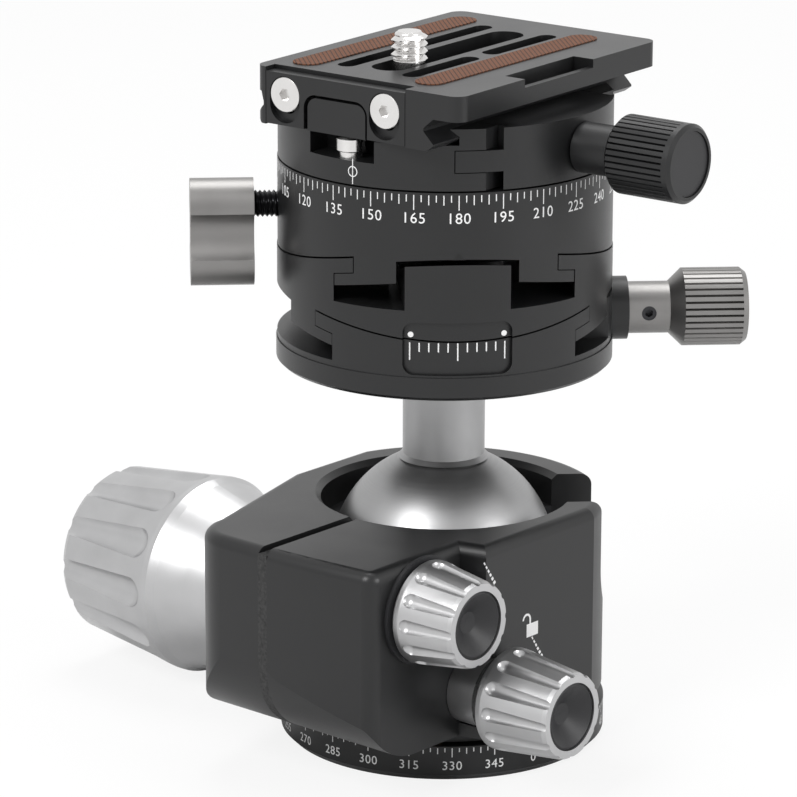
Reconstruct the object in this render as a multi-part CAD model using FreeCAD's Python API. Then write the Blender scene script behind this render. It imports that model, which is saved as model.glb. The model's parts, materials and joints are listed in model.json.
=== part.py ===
import FreeCAD, Part
import math
import os

from FreeCAD import Vector

# Ball head with a two-stage geared tilt head and a panning quick release clamp.
# Millimetres, +Z up. The origin is the centre of the tripod thread at the underside.
# The geared head's front faces -Y, and the drop notch of the ball socket faces +X.

# Running fits and gaps
fit_gap = 0.05          # radial clearance of a turning shaft in its hole
face_gap = 0.1          # gap between flat faces that slide or turn
body_gap = 0.3          # gap between curved faces of separate bodies
thread_gap = 0.05       # radial clearance of a screw in its threaded hole

# Panning base
base_radius = 29.1
base_height = 6.5
base_chamfer = 1.2
foot_radius = 27.4
foot_gap = 0.3
spindle_radius = 12.0
keeper_radius = 15.0
keeper_height = 1.5
keeper_screw_circle = 9.6
keeper_screw_count = 3
keeper_head_radius = 1.9
keeper_head_height = 1.1
keeper_shank_radius = 1.0
keeper_shank_length = 5.0
bush_radius = 7.0
bush_flange_radius = 8.6
bush_flange_height = 1.2
tripod_thread_bore = 3.97
tripod_thread_depth = 9.0
keeper_hex = 1.4
thrust_inner_radius = 13.0
thrust_outer_radius = 21.5

# Ball and neck
ball_radius = 20.0
ball_height = 32.4
ball_flat = 18.6
neck_radius = 7.3
neck_collar_drop = 0.8
neck_top = ball_height + 37.0
cup_gap = 0.05
cup_wall = 0.7
cup_half_angle = 50.0
stud_radius = 3.0
stud_depth = 12.0
stud_head_radius = 5.2
stud_head_height = 2.6
stud_head_lift = 1.2
stud_hex = 5.0
stud_hex_floor = 0.4

# Socket housing: local x runs to the small knobs, local y away from the clamping slit
housing_turn = -45.0
housing_half_width = 27.3
housing_back_radius = housing_half_width + 1.44
housing_side_y = 9.0
housing_bottom = base_height + 2.9
housing_top = ball_height + 12.0
housing_floor_wall = 2.5
rim_radius = 21.9
rim_chamfer = 1.0
socket_radius = 21.2
step_y = -20.6
step_run = 1.2
lug_right_x = housing_half_width - 4.9
lug_end_y = -46.4
lug_crown = 1.4
lug_corner_radius = 8.0
lug_left_x = 8.0 - housing_half_width
lug_edge_radius = 2.6
left_side_y = -10.0
bottom_corner_radius = 13.0
top_bevel = 2.0
slit_width = 2.0
slit_x = -1.2
strip_inset = 0.6
notch_half_width = 8.3
notch_floor = ball_height - notch_half_width - body_gap
notch_reach = 40.0
seat_bottom = ball_height + 2.0
seat_top = seat_bottom + 4.0
seat_relief = 1.2
seat_gap = 0.3

# Main locking knob, on the side away from the small knobs
main_y = -8.0
main_z = ball_height - 12.75
main_boss_radius = 12.2
main_boss_x = -8.3 - housing_half_width
boss_chamfer = 0.8
boss_root = 6.0
hole_reach = 9.0
main_screw_radius = 4.0
main_screw_head_x = main_boss_x - 30.4
pad_radius = 6.0
pad_back_x = 3.3 - housing_half_width
pad_gap = 0.3
main_knob_back = 0.4 - main_boss_x
main_knob_back_radius = 14.4
main_knob_waist = main_knob_back + 6.0
main_knob_waist_radius = 16.0
main_knob_ridge = main_knob_waist + 7.0
main_knob_ridge_radius = 18.4
main_knob_end = main_knob_ridge + 24.4
main_knob_end_radius = 15.0
main_knob_edge = 0.8
main_knob_band = 1.2
main_cap_inset = 2.0
main_cap_depth = 3.0
main_cap_dish = 1.6
main_cap_thickness = 2.9
main_cap_centre = 4.0
main_flute_count = 12
main_flute_offset = 5.0
main_flute_big = 3.6
main_flute_small = 1.9
main_flute_sink = 1.7
main_screw_chamfer = 0.8

# Friction knob and pan lock knob
friction_y = -32.0
friction_z = ball_height + 2.8
friction_knob_back = lug_right_x + 0.8
friction_knob_end = friction_knob_back + 12.0
pan_lock_y = -19.0
pan_lock_z = base_height + 11.2
pan_lock_knob_back = housing_half_width + 3.3
pan_lock_knob_end = pan_lock_knob_back + 14.8
small_back_radius = 9.05
small_end_radius = 7.3
small_flange = 1.6
small_edge = 0.7
small_flute_count = 12
small_flute_offset = 3.4
small_flute_big = 1.45
small_flute_small = 0.8
small_flute_sink = 0.75
small_cap_radius = 6.0
small_cap_dish = 2.2
small_cap_centre = 1.9
small_cap_web = 0.7
small_cap_inset = 0.2
small_washer_rim = 0.5
small_bore_depth = 3.2
small_bore_radius = 2.5
cap_rim_width = 0.5
cap_rim_round = 0.2
cap_dimple = 0.3
friction_screw_radius = 2.0
friction_screw_tip = -14.0
pan_lock_screw_radius = 2.0
pan_lock_shank_radius = 6.2
pan_lock_shank_end = pan_lock_knob_back - 1.8
pan_ring_radius = 7.0
brake_pin_x = 15.0
brake_pin_radius = 2.0
brake_pin_top = pan_lock_z - 2.3
brake_pin_taper = 1.4
brake_pin_point = 0.5
brake_point_offset = 0.9
pan_lock_screw_taper = 1.2

# Geared head, shared by both stages
head_radius = 29.7
stage_radius = 29.5
lower_gap_radius = 95.35
upper_gap_radius = 84.85
gap_width = 0.3
hook_drop = 2.45
flange_drop = 4.7
hook_half_width = 17.6
flange_half_width = 20.6
slide_gap = 0.15
worm_block_half_width = 9.05
worm_block_drop = 1.85
worm_recess_half_width = 10.5
worm_recess_drop = 0.9
lower_disc_bottom = neck_top + face_gap
tilt_centre = lower_disc_bottom + 105.5
disc_chamfer = 0.6
lower_rim_top = lower_disc_bottom + 4.1
lower_floor = lower_disc_bottom + 5.2
upper_floor = lower_floor + 10.6
worm_rise = 3.0
worm_radius = 2.6
worm_half_length = 9.0
worm_shaft_radius = 1.6
worm_slot_gap = 0.4
worm_pitch = 3.14
worm_tail = 6.0
worm_edge = 0.8
worm_groove = 0.5
worm_slot_half_length = 27.8
worm_hole_wall = 4.0
lower_block_start = -16.2
rack_half_width = 2.4
rack_half_angle = 10.5
rack_gap = 0.35
rack_height = 1.5
rack_tooth_angle = 1.0
rack_tooth_depth = 0.9
collar_radius = 5.6
collar_start = stage_radius - 0.5
collar_end = collar_start + 3.2
gear_shank_radius = 4.6
gear_shank_end = collar_end + 7.4
gear_knob_start = gear_shank_end + 1.6
gear_knob_end = gear_knob_start + 12.1
gear_knob_radius = 6.9
gear_knob_ribs = 36
gear_rib_depth = 0.5
gear_knob_edge = 0.8
gear_knob_tail = 1.0
gear_knob_web = 4.0
set_screw_radius = 1.3
set_screw_hex = 1.3
set_screw_x = collar_end + 3.6
window_half_width = 9.4
window_bottom = lower_disc_bottom + 4.5
window_top = window_bottom + 9.3
window_depth = 0.7
window_corner = 1.9

# Panning top: dial ring, pivot, lock lever
dial_top = lower_disc_bottom + 36.5
dial_radius = 29.4
dial_cavity_floor = dial_top - 11.4
pan_groove_z = dial_top - 8.5
pan_groove_depth = 2.2
pointer_half_width = 1.0
pointer_height = 1.1
pointer_depth = 0.7
pivot_radius = 18.0
pivot_bottom = dial_cavity_floor + 0.2
lever_x = dial_radius + 4.2
lever_depth = 11.1
lever_hub_radius = 4.6
lever_tail_radius = 5.1
lever_tail_drop = 9.4
lever_waist_radius = 2.9
lever_scoop_radius = 5.2
lever_web = 3.0
lever_screw_radius = 2.4
shoe_nose_radius = 16.4
shoe_tail_radius = 21.4
shoe_point = 0.5
shoe_radius = 1.9
keeper_pin_radius = 2.0
keeper_pin_point = 0.4
keeper_pin_inset = 0.8
keeper_pin_hex = 2.0
keeper_pin_turns = (-120.0, -60.0)

# Quick release clamp: local x runs to the clamp knob, local y along the plate
clamp_turn = -40.7
clamp_radius = 29.3
clamp_bottom = dial_top + body_gap
clamp_top = clamp_bottom + 10.7
channel_floor = clamp_top - 2.8
dovetail_half_width = 19.0
dovetail_wide_z = clamp_top - 1.3
jaw_edge_x = 24.2
finger_tip_x = 22.3
tongue_tip_x = 18.6
tongue_bottom = clamp_bottom + 3.2
tongue_top = tongue_bottom + 3.7
tongue_gap = 0.15
jaw_lip_half_length = 15.5
jaw_lip_x = 17.2
clamp_screw_z = clamp_bottom + 5.1
clamp_screw_radius = 2.4
clamp_screw_tip = -6.0
clamp_neck_radius = 4.4
clamp_knob_start = clamp_radius + 8.3
clamp_knob_end = clamp_knob_start + 13.4
clamp_knob_radius = 6.85
clamp_knob_ribs = 40
clamp_rib_depth = 0.45
clamp_knob_edge = 0.6
clamp_knob_bead = 1.6
clamp_knob_web = 4.0
clamp_cap_inset = 1.2
clamp_cap_depth = 0.8
guide_pin_y = 13.0
guide_pin_radius = 1.3
guide_pin_start = 8.0
guide_pin_z = clamp_screw_z
guide_pin_inset = 1.0
stop_pin_y = -26.6
stop_pin_x = -0.5
stop_pin_radius = 2.0
stop_pin_head_radius = 2.5
stop_pin_top = clamp_top - 2.9
stop_pin_depth = 1.8
stop_pin_travel = 1.0
stop_notch_x0 = -8.0
stop_notch_x1 = 6.0
stop_notch_y = -23.4
stop_notch_floor = clamp_bottom + 4.1

# Camera plate
plate_bottom = channel_floor + 0.2
plate_top = plate_bottom + 10.0
slab_bottom = plate_top - 4.4
waist_z = plate_bottom + 3.3
waist_height = 0.6
waist_half_width = 17.0
foot_half_width = 17.6
foot_chamfer = 1.0
slab_left_x = -19.0
slab_right_x = 24.5
plate_half_length = 29.6
plate_corner_radius = 2.4
strip_left_x = -12.9
strip_right_x = 13.2
strip_width = 5.4
strip_length = 50.0
strip_depth = 0.6
strip_proud = 0.2
centre_slot_x = 0.6
centre_slot_width = 6.7
centre_slot_length = 40.0
side_slot_width = 3.4
left_slot_x = -6.4
left_slot_length = 43.0
right_slot_x = 7.4
right_slot_length = 20.0
right_slot_y = 11.6
camera_screw_y = -11.5
camera_screw_radius = 3.175
camera_screw_height = 5.4
camera_neck_radius = 2.8
camera_thread_rise = 0.4
camera_screw_head_radius = 5.4
camera_screw_head_height = 2.0
camera_washer_height = 0.5
camera_screw_chamfer = 0.6
camera_screw_hex = 4.0
camera_hex_depth = 1.5
camera_screw_pocket_width = 11.4
ledge_x = 20.4
ledge_front_y = -11.0
ledge_back_y = 9.4
ledge_bar_width = 1.2
ledge_drop = 1.5
lip_left_x = -16.4
lip_right_x = 13.1
lip_bottom = plate_bottom + 0.2
lip_top = plate_top - 0.7
lip_thickness = 2.6
lip_gap = 0.12
lip_slot_width = 3.4
lip_screw_left_x = -12.4
lip_screw_right_x = 8.8
lip_screw_z = plate_top - 4.4
lip_head_radius = 3.05
lip_head_height = 1.1
lip_screw_radius = 1.5
lip_screw_length = 7.0
lip_screw_hex = 2.0
lip_travel = 1.8
tab_left_x = -7.7
tab_right_x = 4.6
tab_top = plate_bottom + 5.8
tab_gap = 0.6
tab_corner = 1.9


def solid_block(x0, x1, y0, y1, z0, z1):
    return Part.makeBox(x1 - x0, y1 - y0, z1 - z0, Vector(x0, y0, z0))


def drum(radius, z0, z1, x=0.0, y=0.0):
    return Part.makeCylinder(radius, z1 - z0, Vector(x, y, z0))


def ring(inner, outer, z0, z1):
    return drum(outer, z0, z1).cut(drum(inner, z0, z1))


def turned(points):
    """Solid of revolution about +Z from half-section points (radius, height)."""
    outline = [Vector(r, 0, z) for r, z in points]
    face = Part.Face(Part.makePolygon(outline + outline[:1]))
    return face.revolve(Vector(0, 0, 0), Vector(0, 0, 1), 360)


def prism(points, z0, z1):
    outline = [Vector(x, y, z0) for x, y in points]
    return Part.Face(Part.makePolygon(outline + outline[:1])).extrude(Vector(0, 0, z1 - z0))


def turned_z(shape, degrees):
    copy = shape.copy()
    copy.rotate(Vector(0, 0, 0), Vector(0, 0, 1), degrees)
    return copy


def laid_x(shape, sign, y, z):
    """Lay a shape built up +Z along +X or -X, through (0, y, z)."""
    copy = shape.copy()
    copy.rotate(Vector(0, 0, 0), Vector(0, 1, 0), 90.0 * sign)
    copy.translate(Vector(0, y, z))
    return copy


def joined(shapes):
    result = shapes[0]
    for shape in shapes[1:]:
        result = result.fuse(shape)
    return result.removeSplitter()


def slot(width, length, x, y, z0, z1):
    """Round-ended slot along local y."""
    half = (length - width) / 2
    bar = solid_block(x - width / 2, x + width / 2, y - half, y + half, z0, z1)
    return joined([bar, drum(width / 2, z0, z1, x, y - half), drum(width / 2, z0, z1, x, y + half)])


def hex_hole(width, z0, z1):
    corner = width / math.sqrt(3)
    sides = 6
    points = [(corner * math.cos(math.tau * k / sides), corner * math.sin(math.tau * k / sides))
              for k in range(sides)]
    return prism(points, z0, z1)


def export(name, shape):
    shape.exportStep("parts/%s.step" % name)


# Panning base

def keeper_levels():
    floor_bottom = base_height + foot_gap
    keeper_bottom = floor_bottom + housing_floor_wall + face_gap
    return floor_bottom, keeper_bottom, keeper_bottom + keeper_height


def make_base():
    _, keeper_bottom, keeper_top = keeper_levels()
    disc = turned([(0, 0), (base_radius - base_chamfer, 0), (base_radius, base_chamfer),
                   (base_radius, base_height), (spindle_radius, base_height),
                   (spindle_radius, keeper_bottom), (0, keeper_bottom)])
    bore = drum(bush_radius, 0, keeper_bottom)
    flange = drum(bush_flange_radius, keeper_bottom - bush_flange_height, keeper_bottom)
    keeper = ring(bush_radius, keeper_radius, keeper_bottom, keeper_top)
    head_floor = keeper_top - keeper_head_height
    screws = []
    for k in range(keeper_screw_count):
        angle = math.tau * k / keeper_screw_count
        x = keeper_screw_circle * math.cos(angle)
        y = keeper_screw_circle * math.sin(angle)
        screw = drum(keeper_head_radius, head_floor, keeper_top, x, y)
        screw = screw.fuse(drum(keeper_shank_radius, keeper_top - keeper_shank_length, head_floor, x, y))
        disc = disc.cut(screw)
        keeper = keeper.cut(screw)
        socket = hex_hole(keeper_hex, keeper_top - keeper_head_height / 2, keeper_top)
        socket.translate(Vector(x, y, 0))
        screws.append(screw.cut(socket))
    bush = turned([(tripod_thread_bore, 0), (bush_radius, 0),
                   (bush_radius, keeper_bottom - bush_flange_height),
                   (bush_flange_radius, keeper_bottom - bush_flange_height),
                   (bush_flange_radius, keeper_bottom), (0, keeper_bottom),
                   (0, tripod_thread_depth), (tripod_thread_bore, tripod_thread_depth)])
    export("pan_base_disc", disc.cut(bore).cut(flange))
    export("tripod_thread_bush", bush)
    export("pan_keeper_plate", keeper)
    export("pan_keeper_screws", Part.makeCompound(screws))
    thrust = ring(thrust_inner_radius, thrust_outer_radius, base_height, base_height + foot_gap)
    export("pan_thrust_washer", thrust)


# Socket housing

def arc_edge(start, middle, end):
    return Part.Arc(Vector(*start, 0), Vector(*middle, 0), Vector(*end, 0)).toShape()


def line_edge(start, end):
    return Part.LineSegment(Vector(*start, 0), Vector(*end, 0)).toShape()


def housing_plan():
    """Outline of the socket seen from above, in its own axes."""
    w = housing_half_width
    side = housing_side_y
    r = lug_corner_radius
    e = lug_edge_radius
    centre = (lug_left_x + r, lug_end_y + r)
    bend = math.radians(225.0)
    corner_left = (lug_left_x, centre[1])
    corner_mid = (centre[0] + r * math.cos(bend), centre[1] + r * math.sin(bend))
    corner_front = (centre[0], lug_end_y)
    right_front = (lug_right_x - e, lug_end_y + lug_crown)
    crown_mid = ((corner_front[0] + right_front[0]) / 2, lug_end_y + lug_crown / 10)
    edge_centre = (right_front[0], right_front[1] + e)
    edge_bend = math.radians(315.0)
    edge_mid = (edge_centre[0] + e * math.cos(edge_bend), edge_centre[1] + e * math.sin(edge_bend))
    edge_end = (lug_right_x, edge_centre[1])
    edges = [
        line_edge((w, side), (w, step_y)),
        line_edge((w, step_y), (lug_right_x, step_y - step_run)),
        line_edge((lug_right_x, step_y - step_run), edge_end),
        arc_edge(edge_end, edge_mid, right_front),
        arc_edge(right_front, crown_mid, corner_front),
        arc_edge(corner_front, corner_mid, corner_left),
        line_edge(corner_left, (-w, left_side_y)),
        line_edge((-w, left_side_y), (-w, side)),
        arc_edge((-w, side), (0, housing_back_radius), (w, side)),
    ]
    return Part.Wire(Part.__sortEdges__(edges))


def housing_section_cut():
    """What is taken off below the lug's rounded lower corner."""
    reach = 2 * housing_half_width
    r = bottom_corner_radius
    corner = solid_block(-reach, reach, lug_end_y - 1, lug_end_y + r,
                         housing_bottom - 1, housing_bottom + r)
    roller = Part.makeCylinder(r, 2 * reach, Vector(-reach, lug_end_y + r, housing_bottom + r),
                               Vector(1, 0, 0))
    return corner.cut(roller)


def left_corner_cut():
    """The same rounding on the side towards the main knob."""
    r = bottom_corner_radius
    reach = 2 * housing_half_width
    x = -housing_half_width
    corner = solid_block(x - 1, x + r, -reach, reach, housing_bottom - 1, housing_bottom + r)
    roller = Part.makeCylinder(r, 2 * reach, Vector(x + r, -reach, housing_bottom + r),
                               Vector(0, 1, 0))
    return corner.cut(roller)


def in_housing(shape):
    return turned_z(shape, housing_turn)


def notch_tool():
    """Drop notch towards world +X, round-bottomed."""
    w = notch_half_width
    straight = solid_block(0, notch_reach, -w, w, notch_floor + w, housing_top + 1)
    bottom = Part.makeCylinder(w, notch_reach, Vector(0, 0, notch_floor + w), Vector(1, 0, 0))
    return straight.fuse(bottom)


def make_housing():
    floor_bottom, keeper_bottom, keeper_top = keeper_levels()
    body = Part.Face(housing_plan()).extrude(Vector(0, 0, housing_top - housing_bottom))
    body.translate(Vector(0, 0, housing_bottom))
    rims = []
    for edge in body.Edges:
        box = edge.BoundBox
        if abs(box.ZMin - housing_top) < 1e-3 and abs(box.ZMax - housing_top) < 1e-3:
            rims.append(edge)
    body = body.makeFillet(top_bevel, rims)
    body = body.cut(housing_section_cut()).cut(left_corner_cut())
    body = body.fuse(drum(foot_radius, floor_bottom, housing_bottom + 1))
    boss = turned([(0, housing_half_width - boss_root), (main_boss_radius, housing_half_width - boss_root),
                   (main_boss_radius, -main_boss_x - boss_chamfer),
                   (main_boss_radius - boss_chamfer, -main_boss_x),
                   (0, -main_boss_x)])
    body = body.fuse(laid_x(boss, -1, main_y, main_z)).removeSplitter()
    socket = Part.makeSphere(socket_radius, Vector(0, 0, ball_height))
    socket = socket.fuse(drum(rim_radius, ball_height, housing_top + 1))
    rim = Part.makeCone(rim_radius, rim_radius + rim_chamfer, rim_chamfer,
                        Vector(0, 0, housing_top - rim_chamfer))
    body = body.cut(socket).cut(rim)
    body = body.cut(drum(spindle_radius + fit_gap, floor_bottom - 1, keeper_bottom))
    body = body.cut(drum(keeper_radius + body_gap, keeper_bottom - face_gap, ball_height))
    half = slit_width / 2
    body = body.cut(solid_block(slit_x - half, slit_x + half, lug_end_y - 1, -spindle_radius,
                                floor_bottom - 1, housing_top + 1))
    body = body.cut(shaft_hole(main_screw_radius + thread_gap, main_boss_x - 1, -rim_radius,
                               main_y, main_z))
    body = body.cut(shaft_hole(pad_radius + fit_gap, pad_back_x, 0, main_y, main_z))
    body = body.cut(shaft_hole(friction_screw_radius + thread_gap, friction_screw_tip - 1,
                               lug_right_x + 1, friction_y, friction_z))
    body = body.cut(shaft_hole(pan_lock_screw_radius + thread_gap, brake_pin_x - brake_pin_radius,
                               housing_half_width + hole_reach, pan_lock_y, pan_lock_z))
    body = body.cut(shaft_hole(pan_lock_shank_radius + body_gap, lug_right_x, housing_half_width + hole_reach,
                               pan_lock_y, pan_lock_z))
    body = body.cut(drum(brake_pin_radius + fit_gap, floor_bottom - 1,
                         pan_lock_z, brake_pin_x, pan_lock_y))
    body = in_housing(body).cut(notch_tool())
    export("socket_housing", body)


def shaft_hole(radius, x0, x1, y, z):
    return Part.makeCylinder(radius, x1 - x0, Vector(x0, y, z), Vector(1, 0, 0))


def make_slit_strip():
    half = slit_width / 2
    plan = Part.Face(housing_plan()).extrude(Vector(0, 0, housing_top - top_bevel / 2 - housing_bottom))
    plan.translate(Vector(0, 0, housing_bottom))
    plan = plan.cut(housing_section_cut())
    slab = solid_block(slit_x - half, slit_x + half, lug_end_y - 1, -rim_radius - strip_inset,
                       housing_bottom, housing_top)
    strip = slab.common(plan)
    strip = strip.cut(shaft_hole(friction_screw_radius + body_gap, -housing_half_width,
                                 housing_half_width, friction_y, friction_z))
    export("slit_seal_strip", in_housing(strip))


def make_ball_seat():
    """Split ring above the ball's equator that holds the ball down."""
    seat_radius = rim_radius
    blank = drum(seat_radius, seat_bottom, seat_top)
    hollow = Part.makeSphere(ball_radius + seat_gap, Vector(0, 0, ball_height))
    seat = blank.cut(hollow).cut(drum(ball_radius + seat_gap, seat_bottom - 1, seat_bottom + seat_relief))
    seat = seat.cut(notch_tool())
    gap = in_housing(solid_block(slit_x - slit_width / 2, slit_x + slit_width / 2,
                                 -rim_radius - 1, 0, seat_bottom, seat_top))
    export("ball_seat_ring", seat.cut(gap))


# Knobs on the socket

def flute(radius_in, radius_out, length, round_end):
    """One scooped flute cutter along +Z from z=0, wider at its round lower end."""
    cone = Part.makeCone(radius_in, radius_out, length)
    if round_end:
        return cone.fuse(Part.makeSphere(radius_in))
    return cone


def fluted_knob(profile, flutes, flute_start, start_radius, end_z, end_radius, big, small, sink):
    """Turned knob with scooped flutes; profile is (radius, z) with z along its axis."""
    knob = turned(profile)
    run = end_z - flute_start
    lean = math.degrees(math.atan2(start_radius - end_radius, run))
    for k in range(flutes):
        cutter = flute(big, small, run * 1.25, True)
        cutter.rotate(Vector(0, 0, 0), Vector(0, 1, 0), -lean)
        cutter.translate(Vector(start_radius + big - sink, 0, flute_start))
        cutter.rotate(Vector(0, 0, 0), Vector(0, 0, 1), 360.0 * k / flutes)
        knob = knob.cut(cutter)
    return knob


def concave_cap(radius, top, dish, thickness, bore):
    """Round cap with a hollow cone face and a central dimple."""
    return turned([(0, top - thickness), (radius, top - thickness), (radius, top - cap_rim_round),
                   (radius - cap_rim_width, top), (bore, top - dish), (0, top - dish - cap_dimple)])


def make_main_knob():
    end = main_knob_end
    profile = [(main_screw_radius, main_knob_back), (main_knob_back_radius, main_knob_back),
               (main_knob_waist_radius, main_knob_waist),
               (main_knob_ridge_radius - main_knob_edge, main_knob_ridge - 2 * main_knob_edge),
               (main_knob_ridge_radius, main_knob_ridge),
               (main_knob_ridge_radius, main_knob_ridge + main_knob_band),
               (main_knob_end_radius + main_knob_edge, end - main_knob_band), (main_knob_end_radius, end),
               (main_knob_end_radius - main_cap_inset, end),
               (main_knob_end_radius - main_cap_inset, end - main_cap_depth),
               (main_screw_radius, end - main_cap_depth)]
    knob = fluted_knob(profile, main_flute_count, main_knob_ridge + main_flute_offset,
                       main_knob_ridge_radius - main_knob_edge / 2, end, main_knob_end_radius,
                       main_flute_big, main_flute_small, main_flute_sink)
    cap = concave_cap(main_knob_end_radius - main_cap_inset - thread_gap, end, main_cap_dish,
                      main_cap_thickness, main_cap_centre)
    tip = body_gap - pad_back_x
    screw = turned([(0, tip), (main_screw_radius - main_screw_chamfer, tip),
                    (main_screw_radius, tip + main_screw_chamfer), (main_screw_radius, -main_screw_head_x),
                    (0, -main_screw_head_x)])
    for name, shape in (("main_lock_knob", knob), ("main_knob_cap", cap), ("main_lock_screw", screw)):
        export(name, in_housing(laid_x(shape, -1, main_y, main_z)))
    pad = Part.makeCylinder(pad_radius, -pad_back_x, Vector(pad_back_x, main_y, main_z), Vector(1, 0, 0))
    pad = pad.cut(Part.makeSphere(ball_radius + cup_gap + cup_wall + pad_gap, Vector(0, 0, ball_height)))
    pad = pad.common(solid_block(pad_back_x, -pad_radius, -rim_radius, rim_radius, 0, housing_top))
    export("ball_pressure_pad", in_housing(pad))


def small_knob(back, end):
    floor = end - small_bore_depth
    profile = [(small_bore_radius, back), (small_back_radius - small_edge, back),
               (small_back_radius, back + small_edge), (small_back_radius, back + small_flange),
               (small_end_radius + small_edge / 2, end - small_edge), (small_end_radius, end),
               (small_cap_radius, end), (small_cap_radius, floor), (small_bore_radius, floor)]
    return fluted_knob(profile, small_flute_count, back + small_flute_offset,
                       small_back_radius - small_edge / 2, end, small_end_radius,
                       small_flute_big, small_flute_small, small_flute_sink)


def make_small_knobs():
    sets = (("friction", friction_knob_back, friction_knob_end, friction_y, friction_z),
            ("pan_lock", pan_lock_knob_back, pan_lock_knob_end, pan_lock_y, pan_lock_z))
    for name, back, end, y, z in sets:
        knob = small_knob(back, end)
        cap = concave_cap(small_cap_radius - thread_gap, end - small_cap_inset, small_cap_dish,
                          small_cap_dish + small_cap_web, small_cap_centre)
        export(name + "_knob", in_housing(laid_x(knob, 1, y, z)))
        export(name + "_knob_cap", in_housing(laid_x(cap, 1, y, z)))
    screw_end = friction_knob_end - small_bore_depth
    screw = turned([(0, friction_screw_tip), (friction_screw_radius, friction_screw_tip),
                    (friction_screw_radius, friction_knob_back), (small_bore_radius, friction_knob_back),
                    (small_bore_radius, screw_end), (0, screw_end)])
    export("friction_screw", in_housing(laid_x(screw, 1, friction_y, friction_z)))
    washer = ring(friction_screw_radius + fit_gap, small_back_radius + small_washer_rim,
                  lug_right_x, friction_knob_back - face_gap)
    export("friction_washer", in_housing(laid_x(washer, 1, friction_y, friction_z)))
    make_pan_lock_screw()


def make_pan_lock_screw():
    tip = brake_pin_x + brake_point_offset
    taper = pan_lock_screw_taper
    screw_end = pan_lock_knob_end - small_bore_depth
    shank_start = lug_right_x + face_gap
    screw = turned([(0, tip), (pan_lock_screw_radius - taper, tip), (pan_lock_screw_radius, tip + taper),
                    (pan_lock_screw_radius, shank_start), (pan_lock_shank_radius, shank_start),
                    (pan_lock_shank_radius, pan_lock_shank_end), (small_bore_radius, pan_lock_shank_end),
                    (small_bore_radius, screw_end), (0, screw_end)])
    export("pan_lock_screw", in_housing(laid_x(screw, 1, pan_lock_y, pan_lock_z)))
    seal = ring(small_bore_radius, pan_ring_radius, pan_lock_shank_end, pan_lock_knob_back)
    export("pan_lock_ring", in_housing(laid_x(seal, 1, pan_lock_y, pan_lock_z)))
    pin = turned([(0, base_height + face_gap), (brake_pin_radius, base_height + face_gap),
                  (brake_pin_radius, brake_pin_top - brake_pin_taper), (brake_pin_point, brake_pin_top),
                  (0, brake_pin_top)])
    pin.translate(Vector(brake_pin_x, pan_lock_y, 0))
    export("pan_brake_pin", in_housing(pin))


# Ball, liner and neck

def make_ball():
    flat_z = ball_height - ball_flat
    ball = Part.makeSphere(ball_radius, Vector(0, 0, ball_height))
    reach = 2 * ball_radius
    ball = ball.cut(solid_block(-reach, reach, -reach, reach, flat_z - ball_radius, flat_z))
    neck = drum(neck_radius, ball_height, neck_top)
    root_z = ball_height + math.sqrt(ball_radius ** 2 - neck_radius ** 2)
    collar = Part.makeCone(neck_radius + neck_collar_drop, neck_radius, neck_collar_drop,
                           Vector(0, 0, root_z))
    ball = joined([ball, neck, collar])
    ball = ball.cut(drum(stud_radius, neck_top - stud_depth, neck_top))
    export("ball_with_neck", ball)
    centre = Vector(0, 0, ball_height)
    inner = ball_radius + cup_gap
    shell = Part.makeSphere(inner + cup_wall, centre).cut(Part.makeSphere(inner, centre))
    rim_z = ball_height - inner * math.cos(math.radians(cup_half_angle))
    shell = shell.common(solid_block(-reach, reach, -reach, reach, 0, rim_z))
    export("ball_liner_cup", shell)
    head_floor = neck_top + stud_head_lift
    head_top = head_floor + stud_head_height
    stud = turned([(0, neck_top - stud_depth), (stud_radius, neck_top - stud_depth),
                   (stud_radius, head_floor), (stud_head_radius, head_floor),
                   (stud_head_radius, head_top), (0, head_top)])
    export("neck_screw", stud.cut(hex_hole(stud_hex, head_floor + stud_hex_floor, head_top)))


# Geared tilt stages. In the local frame of a stage its arcs lie in the XZ plane.

def arc_drum(radius):
    reach = 2 * head_radius
    return Part.makeCylinder(radius, 2 * reach, Vector(0, -reach, tilt_centre), Vector(0, 1, 0))


def outside_arc(radius, half_width, z0, z1):
    """Bar of a half width, below the arc of a radius."""
    reach = 2 * head_radius
    return solid_block(-reach, reach, -half_width, half_width, z0, z1).cut(arc_drum(radius))


def lower_half(radius, outer, bottom, floor, gap_radius, block_start):
    """Fixed side of a stage: disc, hooks over the sliding flange, and worm block."""
    top = gap_top(gap_radius, outer)
    body = drum(outer, bottom, top).cut(arc_drum(gap_radius))
    under = outside_arc(gap_radius + hook_drop, flange_half_width + slide_gap, floor, top)
    mouth = solid_block(-2 * outer, 2 * outer, -hook_half_width, hook_half_width, floor, top)
    body = body.cut(under).cut(mouth)
    block = outside_arc(gap_radius + worm_block_drop, worm_block_half_width, floor - 1, top)
    block = block.common(drum(radius, bottom, top))
    block = block.common(solid_block(block_start, outer, -outer, outer, bottom, top))
    slot_half = worm_half_length + worm_slot_gap
    block = block.cut(solid_block(-slot_half, slot_half, -worm_radius - worm_slot_gap,
                                  worm_radius + worm_slot_gap, floor, top))
    body = body.fuse(block)
    hole = shaft_hole(worm_shaft_radius + fit_gap, -2 * outer, 2 * outer, 0, floor + worm_rise)
    keep = solid_block(worm_hole_wall - outer, 2 * outer, -2 * outer, 2 * outer, bottom, top)
    return body.cut(hole.common(keep)).removeSplitter()


def gap_top(gap_radius, outer):
    return tilt_centre - math.sqrt(gap_radius ** 2 - outer ** 2)


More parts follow.
